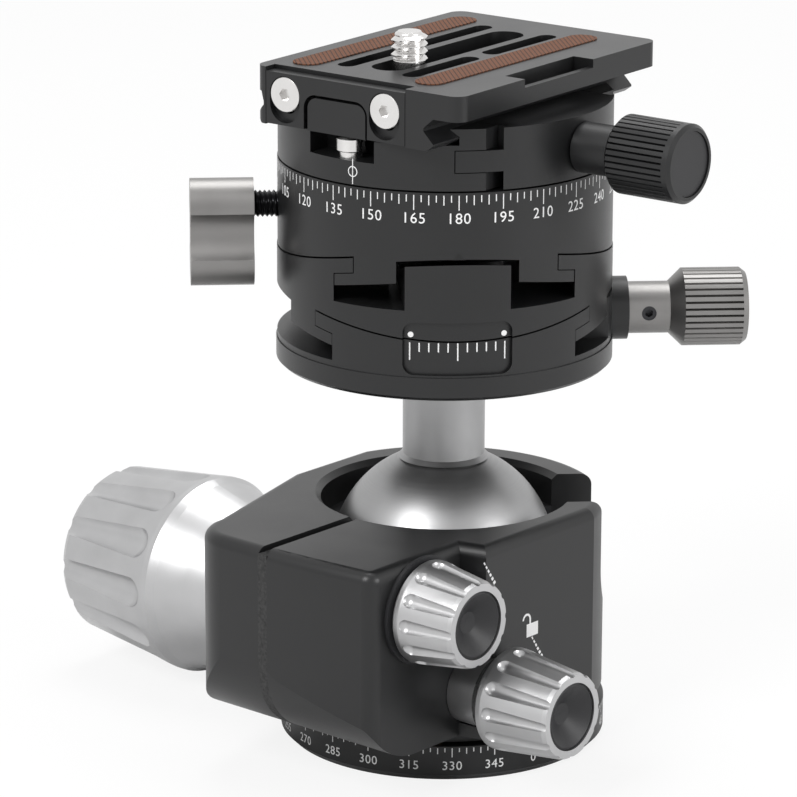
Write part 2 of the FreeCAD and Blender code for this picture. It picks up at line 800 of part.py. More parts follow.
def upper_half(outer, top, gap_radius):
    """Sliding side of a stage: body above the arc gap with a T flange below it."""
    bottom = tilt_centre - gap_radius - flange_drop
    blank = drum(outer, bottom, top)
    body = blank.common(arc_drum(gap_radius - gap_width))
    neck = outside_arc(gap_radius - gap_width - 1, hook_half_width - slide_gap, bottom, top)
    neck = neck.common(arc_drum(gap_radius + flange_drop - slide_gap))
    flange = outside_arc(gap_radius + hook_drop + slide_gap, flange_half_width, bottom, top)
    flange = flange.common(arc_drum(gap_radius + flange_drop - slide_gap))
    body = joined([body, neck.common(blank), flange.common(blank)])
    body = body.cut(outside_arc(gap_radius + worm_recess_drop, worm_recess_half_width, bottom, top))
    tip = rack_reach(gap_radius)
    width = rack_half_width + thread_gap
    seat = tip * math.sin(math.radians(rack_half_angle)) + body_gap
    for radius, half in ((tip - rack_height, seat), (tip, worm_slot_half_length)):
        limit = solid_block(-half, half, -outer, outer, bottom, top)
        body = body.cut(outside_arc(radius, width, bottom, top).common(limit))
    return body


def rack_reach(gap_radius):
    """Radius of the rack's tooth tips, just clear of the worm."""
    floor = lower_floor if gap_radius == lower_gap_radius else upper_floor
    return tilt_centre - floor - worm_rise - worm_radius - rack_gap


def make_rack(gap_radius):
    tip = rack_reach(gap_radius)
    bar = outside_arc(tip - rack_height, rack_half_width, 0, tilt_centre).common(arc_drum(tip))
    half = tip * math.sin(math.radians(rack_half_angle))
    bar = bar.common(solid_block(-half, half, -rack_half_width, rack_half_width, 0, tilt_centre))
    count = int(2 * rack_half_angle / rack_tooth_angle)
    for k in range(count):
        angle = math.radians((k + 0.5) * rack_tooth_angle - rack_half_angle)
        width = tip * math.radians(rack_tooth_angle) / 2
        gash = solid_block(-width / 2, width / 2, -worm_radius, worm_radius, -tip - 1,
                           rack_tooth_depth - tip)
        gash.rotate(Vector(0, 0, 0), Vector(0, 1, 0), math.degrees(-angle))
        gash.translate(Vector(0, 0, tilt_centre))
        bar = bar.cut(gash)
    return bar


def ribbed(radius, ribs, depth, z0, z1, core):
    """Straight-ribbed grip: a drum with V grooves along its length."""
    body = drum(radius, z0, z1)
    groove_width = math.tau * radius / ribs * 0.5
    for k in range(ribs):
        groove = prism([(radius - depth, 0), (radius + 0.2, -groove_width / 2),
                        (radius + 0.2, groove_width / 2)], z0 - 1, z1 + 1)
        groove.rotate(Vector(0, 0, 0), Vector(0, 0, 1), 360.0 * k / ribs)
        body = body.cut(groove)
    return body.cut(drum(core, z0, z1))


def make_gear_knob():
    """Worm, shaft, shank and ribbed grip along +Z from the head's axis."""
    core = worm_shaft_radius
    grip_start = gear_knob_start + gear_knob_edge
    grip_end = gear_knob_end - gear_knob_tail
    bore_end = gear_knob_end - gear_knob_web
    grip = ribbed(gear_knob_radius, gear_knob_ribs, gear_rib_depth, grip_start, grip_end, core)
    lead = Part.makeCone(gear_shank_radius, gear_knob_radius, grip_start - gear_shank_end,
                         Vector(0, 0, gear_shank_end))
    tail = Part.makeCone(gear_knob_radius, gear_knob_radius - gear_knob_edge, gear_knob_tail,
                         Vector(0, 0, grip_end))
    shank = drum(gear_shank_radius, collar_end + face_gap, gear_shank_end)
    plug = drum(core, bore_end, grip_end)
    knob = joined([shank, lead, grip, tail, plug]).cut(drum(core, 0, bore_end))
    screw_hole = Part.makeCylinder(set_screw_radius, gear_knob_radius, Vector(0, 0, set_screw_x),
                                   Vector(0, -1, 0))
    knob = knob.cut(screw_hole)
    worm_start = -worm_half_length
    worm = turned([(0, worm_start - worm_tail), (core, worm_start - worm_tail), (core, worm_start),
                   (worm_radius, worm_start + worm_edge), (worm_radius, worm_half_length - worm_edge),
                   (core, worm_half_length), (core, bore_end), (0, bore_end)])
    spacing = worm_pitch / 2
    grooves = int((2 * worm_half_length - 2 * worm_edge) / spacing)
    for k in range(grooves):
        z = worm_start + 2 * worm_edge + k * spacing
        worm = worm.cut(turned([(worm_radius - worm_edge, z), (worm_radius + worm_edge, z - worm_groove),
                                (worm_radius + worm_edge, z + worm_groove)]))
    length = gear_shank_radius - core - body_gap
    set_screw = Part.makeCylinder(set_screw_radius, length, Vector(0, -core, set_screw_x),
                                  Vector(0, -1, 0))
    socket = hex_hole(set_screw_hex, 0, gear_shank_radius)
    socket.rotate(Vector(0, 0, 0), Vector(1, 0, 0), 90)
    socket.translate(Vector(0, -core - length / 2, set_screw_x))
    collar = ring(worm_shaft_radius + fit_gap, collar_radius, collar_start, collar_end)
    return {"knob": knob, "worm": worm, "set_screw": set_screw.cut(socket), "collar": collar}


def place_gear_knob(shape, floor, quarter_turn):
    laid = laid_x(shape, 1, 0, floor + worm_rise)
    laid = laid if quarter_turn == 0 else turned_z(laid, quarter_turn)
    return laid


def round_along_y(block, radius, lowest):
    """Round the edges of a block that run along y, at and above a height."""
    edges = []
    for edge in block.Edges:
        box = edge.BoundBox
        if box.XLength < 1e-3 and box.ZLength < 1e-3 and box.ZMin > lowest - 1e-3:
            edges.append(edge)
    return block.makeFillet(radius, edges)


def window_tool():
    skin = ring(stage_radius - window_depth, 2 * head_radius, window_bottom, window_top)
    opening = solid_block(-window_half_width, window_half_width, -2 * head_radius, 0,
                          window_bottom, window_top)
    return skin.common(round_along_y(opening, window_corner, window_bottom))


def make_lower_stage():
    base = lower_half(stage_radius, head_radius, lower_disc_bottom, lower_floor, lower_gap_radius,
                      lower_block_start)
    slim = ring(stage_radius, 2 * head_radius, lower_rim_top, dial_top)
    chamfer = turned([(head_radius - disc_chamfer, lower_disc_bottom),
                      (head_radius + 1, lower_disc_bottom),
                      (head_radius + 1, lower_disc_bottom + disc_chamfer),
                      (head_radius, lower_disc_bottom + disc_chamfer)])
    base = base.cut(slim).cut(chamfer).cut(window_tool())
    pocket = stud_head_radius + body_gap
    base = base.cut(drum(pocket, neck_top + stud_head_lift - face_gap,
                         lower_floor + worm_rise + worm_radius))
    base = base.cut(drum(stud_radius + body_gap, lower_disc_bottom - 1, lower_floor))
    pieces = make_gear_knob()
    collar = place_gear_knob(pieces["collar"], lower_floor, 0)
    export("gear_base_disc", base.cut(collar_seat(0, lower_floor)))
    export("lower_worm_collar", collar)
    export("lower_worm", place_gear_knob(pieces["worm"], lower_floor, 0))
    export("lower_gear_knob", place_gear_knob(pieces["knob"], lower_floor, 0))
    export("lower_knob_set_screw", place_gear_knob(pieces["set_screw"], lower_floor, 0))
    export("lower_rack", make_rack(lower_gap_radius))


def collar_seat(quarter_turn, floor):
    seat = drum(collar_radius, collar_start, 2 * head_radius)
    return place_gear_knob(seat, floor, quarter_turn)


def make_middle_stage():
    top = gap_top(upper_gap_radius, stage_radius)
    sliding = upper_half(stage_radius, upper_floor, lower_gap_radius)
    fixed = lower_half(stage_radius, stage_radius, upper_floor - 1, upper_floor, upper_gap_radius,
                       -stage_radius)
    middle = joined([sliding, turned_z(fixed, 90)])
    middle = middle.cut(window_tool())
    rear = 90
    pieces = make_gear_knob()
    collar = place_gear_knob(pieces["collar"], upper_floor, rear)
    middle = middle.cut(collar_seat(rear, upper_floor))
    export("middle_stage", middle.common(drum(stage_radius, 0, top)))
    export("upper_worm_collar", collar)
    export("upper_worm", place_gear_knob(pieces["worm"], upper_floor, rear))
    export("upper_gear_knob", place_gear_knob(pieces["knob"], upper_floor, rear))
    export("upper_knob_set_screw", place_gear_knob(pieces["set_screw"], upper_floor, rear))
    export("upper_rack", turned_z(make_rack(upper_gap_radius), rear))


def pointer_tool():
    """Pointer notch at the front, above the worm block."""
    recess = tilt_centre - math.sqrt((upper_gap_radius + worm_recess_drop) ** 2 - dial_radius ** 2)
    low = recess - pointer_height
    points = [(-2 * pointer_half_width, low), (2 * pointer_half_width, low), (0, recess + pointer_height)]
    outline = [Vector(x, -2 * dial_radius, z) for x, z in points]
    face = Part.Face(Part.makePolygon(outline + outline[:1]))
    return face.extrude(Vector(0, dial_radius + pointer_depth, 0))


def make_upper_stage():
    stage = turned_z(upper_half(stage_radius, dial_top, upper_gap_radius), 90)
    stage = stage.common(drum(dial_radius, 0, dial_top))
    cavity = drum(pivot_radius + body_gap, dial_cavity_floor, dial_top)
    stage = stage.cut(cavity)
    bore = laid_x(drum(lever_screw_radius + thread_gap, 0, 2 * head_radius), -1, 0, pan_groove_z)
    stage = stage.cut(bore).cut(pointer_tool())
    pin_bore = laid_x(drum(keeper_pin_radius, 0, 2 * head_radius), -1, 0, pan_groove_z)
    pins = []
    nose = pivot_radius - pan_groove_depth + 2 * body_gap
    cone = keeper_pin_radius - keeper_pin_point
    back = dial_radius - keeper_pin_inset
    for turn in keeper_pin_turns:
        stage = stage.cut(turned_z(pin_bore, turn))
        pin = turned([(0, nose), (keeper_pin_point, nose), (keeper_pin_radius, nose + cone),
                      (keeper_pin_radius, back), (0, back)])
        pin = pin.cut(hex_hole(keeper_pin_hex, back - keeper_pin_radius, back))
        pins.append(turned_z(laid_x(pin, -1, 0, pan_groove_z), turn))
    export("dial_stage", stage)
    export("pan_keeper_pins", Part.makeCompound(pins))


def make_lever():
    """Wing lever with its threaded stud and the brass brake shoe it presses."""
    start = lever_x
    end = lever_x + lever_depth
    hub = drum(lever_hub_radius, start, end)
    tail = drum(lever_tail_radius, start, end, -lever_tail_drop, 0)
    waist = solid_block(-lever_tail_drop, 0, -lever_hub_radius, lever_hub_radius, start, end)
    middle = -lever_tail_drop / 2
    lever = joined([hub, tail, waist])
    for side in (-1, 1):
        scoop_y = side * (lever_waist_radius + lever_scoop_radius)
        lever = lever.cut(drum(lever_scoop_radius, start, end, middle, scoop_y))
    lever = lever.cut(drum(lever_screw_radius, start, end - lever_web))
    screw = turned([(0, shoe_tail_radius), (lever_screw_radius, shoe_tail_radius),
                    (lever_screw_radius, end - lever_web), (0, end - lever_web)])
    nose_end = shoe_nose_radius + shoe_radius - shoe_point
    shoe = turned([(0, shoe_nose_radius), (shoe_point, shoe_nose_radius), (shoe_radius, nose_end),
                   (shoe_radius, shoe_tail_radius - face_gap), (0, shoe_tail_radius - face_gap)])
    export("pan_lock_lever", laid_x(lever, -1, 0, pan_groove_z))
    export("pan_lever_screw", laid_x(screw, -1, 0, pan_groove_z))
    export("pan_brake_shoe", laid_x(shoe, -1, 0, pan_groove_z))


# Quick release clamp

def in_clamp(shape):
    return turned_z(shape, clamp_turn)


def dovetail_channel(half, z_floor, length):
    """Channel section with undercut flanks, along local y."""
    slope_top = clamp_top - dovetail_wide_z
    points = [(-half, z_floor), (half, z_floor), (half, dovetail_wide_z),
              (half - slope_top, clamp_top), (half - slope_top, clamp_top + 1),
              (-half + slope_top, clamp_top + 1), (-half + slope_top, clamp_top), (-half, dovetail_wide_z)]
    outline = [Vector(x, -length, z) for x, z in points]
    return Part.Face(Part.makePolygon(outline + outline[:1])).extrude(Vector(0, 2 * length, 0))


def make_clamp():
    reach = 2 * clamp_radius
    half = dovetail_half_width + face_gap
    body = drum(clamp_radius, clamp_bottom, clamp_top)
    pivot = turned([(0, pivot_bottom), (pivot_radius, pivot_bottom),
                    (pivot_radius, pan_groove_z - pan_groove_depth),
                    (pivot_radius - pan_groove_depth, pan_groove_z),
                    (pivot_radius, pan_groove_z + pan_groove_depth),
                    (pivot_radius, clamp_bottom), (0, clamp_bottom)])
    channel = dovetail_channel(half, channel_floor, reach)
    jaw_space = joined([
        solid_block(finger_tip_x, reach, -reach, reach, clamp_bottom, clamp_top),
        solid_block(tongue_tip_x - tongue_gap, reach, -reach, reach,
                    tongue_bottom - tongue_gap, tongue_top + tongue_gap),
        solid_block(jaw_lip_x - tongue_gap, reach, -jaw_lip_half_length - tongue_gap,
                    jaw_lip_half_length + tongue_gap, tongue_top - tongue_gap, clamp_top)])
    body = body.cut(channel).cut(jaw_space)
    notch = solid_block(stop_notch_x0, stop_notch_x1, -reach, stop_notch_y, stop_notch_floor, clamp_top)
    body = body.cut(notch)
    pin_floor = stop_notch_floor - stop_pin_depth - stop_pin_travel - face_gap
    body = body.cut(drum(stop_pin_radius + fit_gap, pin_floor, clamp_top, stop_pin_x, stop_pin_y))
    body = joined([body, pivot])
    screw_hole = shaft_hole(clamp_screw_radius + thread_gap, clamp_screw_tip - 1, reach, 0, clamp_screw_z)
    body = body.cut(screw_hole)
    jaw = drum(clamp_radius, clamp_bottom, clamp_top)
    jaw_form = joined([
        solid_block(jaw_edge_x, reach, -reach, reach, clamp_bottom, clamp_top),
        solid_block(tongue_tip_x, reach, -reach, reach, tongue_bottom, tongue_top),
        solid_block(jaw_lip_x, reach, -jaw_lip_half_length, jaw_lip_half_length, tongue_top, clamp_top)])
    jaw = jaw.common(jaw_form).cut(channel).cut(screw_hole)
    pins = []
    end = math.sqrt(clamp_radius ** 2 - guide_pin_y ** 2) - guide_pin_inset
    for side in (-1, 1):
        y = side * guide_pin_y
        pins.append(shaft_hole(guide_pin_radius, guide_pin_start, end, y, guide_pin_z))
        body = body.cut(shaft_hole(guide_pin_radius, guide_pin_start, tongue_tip_x, y, guide_pin_z))
        jaw = jaw.cut(shaft_hole(guide_pin_radius + fit_gap, tongue_tip_x - 1, end + body_gap,
                                 y, guide_pin_z))
    export("clamp_body", in_clamp(body))
    export("clamp_jaw", in_clamp(jaw))
    export("jaw_guide_pins", in_clamp(Part.makeCompound(pins)))
    foot = stop_notch_floor - stop_pin_depth
    shoulder = stop_notch_floor + stop_pin_travel
    pin = turned([(0, foot), (stop_pin_radius, foot),
                  (stop_pin_radius, shoulder), (stop_pin_head_radius, shoulder + 0.3),
                  (stop_pin_head_radius, stop_pin_top - 0.4), (stop_pin_head_radius - 0.4, stop_pin_top),
                  (0, stop_pin_top)])
    pin.translate(Vector(stop_pin_x, stop_pin_y, 0))
    export("safety_pin", in_clamp(pin))


def make_clamp_knob():
    start = clamp_knob_start
    end = clamp_knob_end
    edge = clamp_knob_edge
    bead_start = end - clamp_knob_bead
    bore_end = end - clamp_knob_web
    grip = ribbed(clamp_knob_radius, clamp_knob_ribs, clamp_rib_depth, start + edge, bead_start,
                  clamp_screw_radius)
    front = Part.makeCone(clamp_knob_radius - edge, clamp_knob_radius, edge, Vector(0, 0, start))
    bead = turned([(0, bore_end), (clamp_screw_radius, bore_end), (clamp_screw_radius, bead_start),
                   (clamp_knob_radius, bead_start), (clamp_knob_radius, end - edge),
                   (clamp_knob_radius - edge, end), (0, end)])
    neck_start = clamp_radius + face_gap
    neck = drum(clamp_neck_radius, neck_start, start)
    knob = joined([grip, front, bead, neck])
    knob = knob.cut(drum(clamp_screw_radius, 0, bore_end))
    cap_radius = clamp_knob_radius - clamp_cap_inset
    cap_floor = end - clamp_cap_depth
    knob = knob.cut(drum(cap_radius, cap_floor, end))
    cap = drum(cap_radius - thread_gap, cap_floor, end - body_gap)
    screw = turned([(0, clamp_screw_tip), (clamp_screw_radius - edge, clamp_screw_tip),
                    (clamp_screw_radius, clamp_screw_tip + edge), (clamp_screw_radius, bore_end),
                    (0, bore_end)])
    for name, shape in (("clamp_knob", knob), ("clamp_knob_cap", cap), ("clamp_screw", screw)):
        export(name, in_clamp(laid_x(shape, 1, 0, clamp_screw_z)))


# Camera plate

def plate_section():
    """Plate profile across its length: dovetail foot, waist and slab."""
    d = dovetail_half_width
    foot = foot_half_width
    w = waist_half_width
    foot_top = plate_bottom + foot_chamfer
    waist_top = waist_z + waist_height
    points = [(-foot, plate_bottom), (foot, plate_bottom), (d, foot_top), (d, dovetail_wide_z),
              (w, waist_z), (w, waist_top), (d, slab_bottom),
              (slab_right_x, slab_bottom), (slab_right_x, plate_top), (slab_left_x, plate_top),
              (slab_left_x, slab_bottom), (-w - waist_height, slab_bottom),
              (-w, waist_top), (-w, waist_z), (-d, dovetail_wide_z), (-d, foot_top)]
    outline = [Vector(x, -plate_half_length, z) for x, z in points]
    return Part.Face(Part.makePolygon(outline + outline[:1])).extrude(Vector(0, 2 * plate_half_length, 0))


def make_plate():
    plate = plate_section()
    corners = []
    for edge in plate.Edges:
        box = edge.BoundBox
        upright = abs(box.ZMin - slab_bottom) < 1e-3 and abs(box.ZMax - plate_top) < 1e-3
        if upright and box.XLength < 1e-3 and box.YLength < 1e-3:
            corners.append(edge)
    plate = plate.makeFillet(plate_corner_radius, corners)
    low = plate_bottom - 1
    high = plate_top + 1
    plate = plate.cut(slot(centre_slot_width, centre_slot_length, centre_slot_x, 0, low, high))
    plate = plate.cut(slot(side_slot_width, left_slot_length, left_slot_x, 0, low, high))
    for side in (-1, 1):
        plate = plate.cut(slot(side_slot_width, right_slot_length, right_slot_x, side * right_slot_y,
                               low, high))
    pocket_length = centre_slot_length + camera_screw_pocket_width - centre_slot_width
    plate = plate.cut(slot(camera_screw_pocket_width, pocket_length, centre_slot_x, 0, low, slab_bottom))
    strips = []
    for x in (strip_left_x, strip_right_x):
        floor = plate_top - strip_depth
        plate = plate.cut(slot(strip_width, strip_length, x, 0, floor, high))
        strips.append(slot(strip_width, strip_length, x, 0, floor, plate_top + strip_proud))
    plate = plate.cut(solid_block(ledge_x, slab_right_x + 1, ledge_front_y, ledge_back_y,
                                  plate_top - ledge_drop, high))
    bar_x = slab_right_x - ledge_bar_width
    plate = plate.cut(solid_block(ledge_x, bar_x, ledge_front_y, ledge_back_y, slab_bottom - 1, high))
    seat_y = -plate_half_length + lip_thickness
    seat = solid_block(lip_left_x - lip_gap, lip_right_x + lip_gap, -2 * plate_half_length, seat_y,
                       low, high)
    tab = solid_block(tab_left_x, tab_right_x, body_gap - plate_half_length, seat_y + 1,
                      plate_bottom, tab_top)
    plate = joined([plate.cut(seat), round_along_y(tab, tab_corner, tab_top)])
    lip, screws = make_lip(seat_y)
    for x in (lip_screw_left_x, lip_screw_right_x):
        plate = plate.cut(lip_bolt_hole(x, seat_y))
    export("camera_plate", in_clamp(plate))
    export("plate_grip_strips", in_clamp(Part.makeCompound(strips)))
    export("stop_lip", in_clamp(lip))
    export("stop_lip_screws", in_clamp(Part.makeCompound(screws)))


def along_y(shape, x, z):
    """Lay a shape built up +Z along local -Y, through (x, 0, z)."""
    copy = shape.copy()
    copy.rotate(Vector(0, 0, 0), Vector(1, 0, 0), 90)
    copy.translate(Vector(x, 0, z))
    return copy


def lip_bolt_hole(x, seat_y):
    return along_y(drum(lip_screw_radius, -seat_y - lip_screw_length, -seat_y + 1), x, lip_screw_z)


def upright_slot(radius, x, y0, y1):
    """Vertical slot through the lip, from the screw's centre down by the lip's travel."""
    top = along_y(drum(radius, y0, y1), x, lip_screw_z)
    bottom = along_y(drum(radius, y0, y1), x, lip_screw_z - lip_travel)
    middle = solid_block(x - radius, x + radius, -y1, -y0, lip_screw_z - lip_travel, lip_screw_z)
    return joined([top, middle, bottom])


def make_lip(seat_y):
    outer = -plate_half_length
    lip = solid_block(lip_left_x, lip_right_x, outer, seat_y - face_gap, lip_bottom, lip_top)
    window = solid_block(tab_left_x - tab_gap, tab_right_x + tab_gap, outer - 1, seat_y, lip_bottom - 1,
                         tab_top + tab_gap)
    lip = lip.cut(round_along_y(window, tab_corner + tab_gap, tab_top))
    screws = []
    head_start = -outer
    for x in (lip_screw_left_x, lip_screw_right_x):
        scoop_radius = lip_head_radius + lip_gap
        head_back = head_start - lip_head_height
        lip = lip.cut(upright_slot(lip_slot_width / 2, x, -seat_y - 1, head_start + 1))
        lip = lip.cut(upright_slot(scoop_radius, x, head_back - face_gap, head_start + 1))
        screw = turned([(0, -seat_y - lip_screw_length), (lip_screw_radius, -seat_y - lip_screw_length),
                        (lip_screw_radius, head_back), (lip_head_radius, head_back),
                        (lip_head_radius, head_start - face_gap),
                        (lip_head_radius - face_gap, head_start), (0, head_start)])
        screw = screw.cut(hex_hole(lip_screw_hex, head_back + face_gap, head_start + 1))
        screws.append(along_y(screw, x, lip_screw_z))
    return lip, screws


def make_camera_screw():
    washer_top = slab_bottom - face_gap
    washer_bottom = washer_top - camera_washer_height
    washer = ring(camera_screw_radius + fit_gap, camera_screw_head_radius, washer_bottom, washer_top)
    washer.translate(Vector(centre_slot_x, camera_screw_y, 0))
    export("camera_screw_washer", in_clamp(washer))
    head_top = washer_bottom - face_gap
    head_bottom = head_top - camera_screw_head_height
    thread_start = plate_top + camera_thread_rise
    screw = turned([(0, head_bottom), (camera_screw_head_radius, head_bottom),
                    (camera_screw_head_radius, head_top), (camera_neck_radius, head_top),
                    (camera_neck_radius, thread_start), (camera_screw_radius, thread_start),
                    (camera_screw_radius, plate_top + camera_screw_height - camera_screw_chamfer),
                    (camera_screw_radius - camera_screw_chamfer, plate_top + camera_screw_height),
                    (0, plate_top + camera_screw_height)])
    screw = screw.cut(hex_hole(camera_screw_hex, head_bottom - 1, head_bottom + camera_hex_depth))
    screw.translate(Vector(centre_slot_x, camera_screw_y, 0))
    export("camera_screw", in_clamp(screw))


def main():
    os.makedirs("parts", exist_ok=True)
    make_base()
    make_housing()
    make_slit_strip()
    make_ball_seat()
    make_main_knob()
    make_small_knobs()
    make_ball()
    make_lower_stage()
    make_middle_stage()
    make_upper_stage()
    make_lever()
    make_clamp()
    make_clamp_knob()
    make_plate()
    make_camera_screw()


main()
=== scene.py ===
import bmesh
import bpy
import json
import math
from mathutils import Matrix, Vector


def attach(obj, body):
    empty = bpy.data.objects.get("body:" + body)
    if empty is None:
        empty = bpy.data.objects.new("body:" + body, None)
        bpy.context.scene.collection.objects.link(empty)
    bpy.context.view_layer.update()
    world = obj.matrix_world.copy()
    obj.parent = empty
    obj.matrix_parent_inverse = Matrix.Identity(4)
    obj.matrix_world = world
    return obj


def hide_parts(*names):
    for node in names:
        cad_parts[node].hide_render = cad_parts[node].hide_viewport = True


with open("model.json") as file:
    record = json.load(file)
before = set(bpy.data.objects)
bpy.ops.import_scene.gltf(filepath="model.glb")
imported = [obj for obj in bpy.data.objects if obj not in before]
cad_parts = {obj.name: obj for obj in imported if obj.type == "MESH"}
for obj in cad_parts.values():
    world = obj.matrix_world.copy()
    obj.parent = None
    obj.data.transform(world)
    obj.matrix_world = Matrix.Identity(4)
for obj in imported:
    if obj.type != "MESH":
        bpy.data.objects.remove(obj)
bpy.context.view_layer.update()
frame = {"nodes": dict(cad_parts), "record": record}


mm = 0.001
print("frame loaded")


# Nodes and arithmetic

class Wire:  # a socket that takes part in sums
    def __init__(self, graph, socket):
        self.graph = graph
        self.socket = socket

    def calc(self, operation, *others):
        values = dict(enumerate((self,) + others))
        return self.graph.node("ShaderNodeMath", {"operation": operation}, values)

    def __add__(self, other):
        return self.calc("ADD", other)

    def __sub__(self, other):
        return self.calc("SUBTRACT", other)

    def __rsub__(self, other):
        return (self * -1.0) + other

    def __mul__(self, other):
        return self.calc("MULTIPLY", other)

    def __mod__(self, other):
        return self.calc("FLOORED_MODULO", other)

    def __lt__(self, other):
        return self.calc("LESS_THAN", other)


class Graph:  # one node tree, for a finish, the sky or repeated geometry
    def __init__(self, tree):
        self.tree = tree

    def node(self, kind, settings=None, values=None, out=0):
        made = self.tree.nodes.new(kind)
        for key, value in (settings or {}).items():
            setattr(made, key, value)
        for key, value in (values or {}).items():
            socket = made.inputs[key]
            if isinstance(value, Wire):
                self.tree.links.new(value.socket, socket)
            else:
                socket.default_value = value
        return Wire(self, made.outputs[out]) if made.outputs else None


colourMix = {"share": 0, "low": 6, "high": 7, "result": 2}  # sockets of a Mix node set to colours


class Finish(Graph):  # a material with its place on the piece ready to use
    def __init__(self, name):
        self.material = bpy.data.materials.new(name)
        self.material.use_nodes = True
        super().__init__(self.material.node_tree)
        self.tree.nodes.clear()
        self.place = self.node("ShaderNodeTexCoord", out="Object")

    def noise(self, scale, detail=3.0):
        values = {"Vector": self.place, "Scale": scale, "Detail": detail}
        return self.node("ShaderNodeTexNoise", {}, values)

    def along(self, axis):  # distance along a direction, in metres
        settings = {"operation": "DOT_PRODUCT"}
        return self.node("ShaderNodeVectorMath", settings, {0: self.place, 1: axis}, out="Value")

    def lines(self, axis, spacing):  # fine lathe marks across a turning axis
        values = {"W": self.along(axis) * (1.0 / spacing), "Scale": 1.0, "Detail": 2.0}
        return self.node("ShaderNodeTexNoise", {"noise_dimensions": "1D"}, values)

    def tint(self, low, high, mask):
        made = self.tree.nodes.new("ShaderNodeMix")
        made.data_type = "RGBA"
        made.inputs[colourMix["low"]].default_value = (*low, 1.0)
        made.inputs[colourMix["high"]].default_value = (*high, 1.0)
        self.tree.links.new(mask.socket, made.inputs[colourMix["share"]])
        return Wire(self, made.outputs[colourMix["result"]])

    def bump(self, height, depth):
        return self.node("ShaderNodeBump", {}, {"Height": height, "Distance": depth, "Strength": 1.0})

    def surface(self, values):
        shader = self.node("ShaderNodeBsdfPrincipled", {}, values)
        self.node("ShaderNodeOutputMaterial", {}, {"Surface": shader})
        return self.material


turnHouse = math.radians(-45.0)
knobAxis = (math.cos(turnHouse), math.sin(turnHouse), 0.0)
turnClamp = math.radians(-40.7)
clampAxis = (math.cos(turnClamp), math.sin(turnClamp), 0.0)
plateAxis = (-math.sin(turnClamp), math.cos(turnClamp), 0.0)
upAxis = (0.0, 0.0, 1.0)

# How each kind of surface varies: scales are per metre, shares are of roughness

blasted = {"cloud": 90.0, "blast": 5200.0, "cloudShare": 0.1, "blastShare": 0.06, "middle": 0.08}
machined = {"cloud": 140.0, "matte": 4200.0, "markShare": 0.12, "cloudShare": 0.08, "middle": 0.1}
moulded = {"grainShare": 0.15, "middle": 0.08, "specular": 0.25}
# woven dark is painted shade for the weave's grooves; raised rubber runs from dark to light with the
# grain
woven = {"cell": 0.0011, "groove": 0.26, "grain": 2600.0, "dark": (0.045, 0.022, 0.014),
         "light": (0.21, 0.085, 0.045), "grainShare": 0.1, "rough": 0.72, "specular": 0.25,
         "fleck": 0.2, "depth": 0.00012}
printed = {"grain": 3000.0, "dim": 0.9, "grainShare": 0.1, "rough": 0.5}


def anodised(name, dark, light, rough, specular, grain=0.000012):
    finish = Finish(name)
    cloud = finish.noise(blasted["cloud"])
    blast = finish.noise(blasted["blast"], 1.0)
    vary = cloud * blasted["cloudShare"] + blast * blasted["blastShare"]
    return finish.surface({
        "Base Color": finish.tint(dark, light, cloud),
        "Roughness": vary + (rough - blasted["middle"]),
        "Specular IOR Level": specular,
        "Normal": finish.bump(blast, grain)})


def metal(name, dark, light, rough, axis=None, spacing=0.00012, depth=0.000006):
    finish = Finish(name)
    cloud = finish.noise(machined["cloud"])
    marks = finish.lines(axis, spacing) if axis else finish.noise(machined["matte"], 1.0)
    vary = marks * machined["markShare"] + cloud * machined["cloudShare"]
    return finish.surface({
        "Base Color": finish.tint(dark, light, cloud),
        "Roughness": vary + (rough - machined["middle"]),
        "Metallic": 1.0,
        "Normal": finish.bump(marks, depth)})


def rubber(name, dark, light, rough, grainSize, depth):
    finish = Finish(name)
    grain = finish.noise(1.0 / grainSize)
    return finish.surface({
        "Base Color": finish.tint(dark, light, grain),
        "Roughness": grain * moulded["grainShare"] + (rough - moulded["middle"]),
        "Specular IOR Level": moulded["specular"],
        "Normal": finish.bump(grain, depth)})


def crossHatch(name):  # brown cork rubber with a fine raised weave, its grooves coloured dark as painted shade
    finish = Finish(name)
    slantA = tuple(a + b for a, b in zip(clampAxis, plateAxis))
    slantB = tuple(a - b for a, b in zip(clampAxis, plateAxis))
    cellA = (finish.along(slantA) * (1.0 / woven["cell"])) % 1.0
    cellB = (finish.along(slantB) * (1.0 / woven["cell"])) % 1.0
    groove = (cellA < woven["groove"]).calc("MAXIMUM", cellB < woven["groove"])
    grain = finish.noise(woven["grain"])
    raised = 1.0 - groove
    return finish.surface({
        # Base colour: grooves take the dark colour as painted shade, the raised weave is flecked
        # lighter by grain
        "Base Color": finish.tint(woven["dark"], woven["light"], raised * (grain * 0.5 + 0.5)),
        "Roughness": grain * woven["grainShare"] + woven["rough"],
        "Specular IOR Level": woven["specular"],
        "Normal": finish.bump(raised + grain * woven["fleck"], woven["depth"])})


def paint(name, shade):
    finish = Finish(name)
    grain = finish.noise(printed["grain"])
    return finish.surface({
        "Base Color": finish.tint(tuple(v * printed["dim"] for v in shade), shade, grain),
        "Roughness": grain * printed["grainShare"] + printed["rough"]})


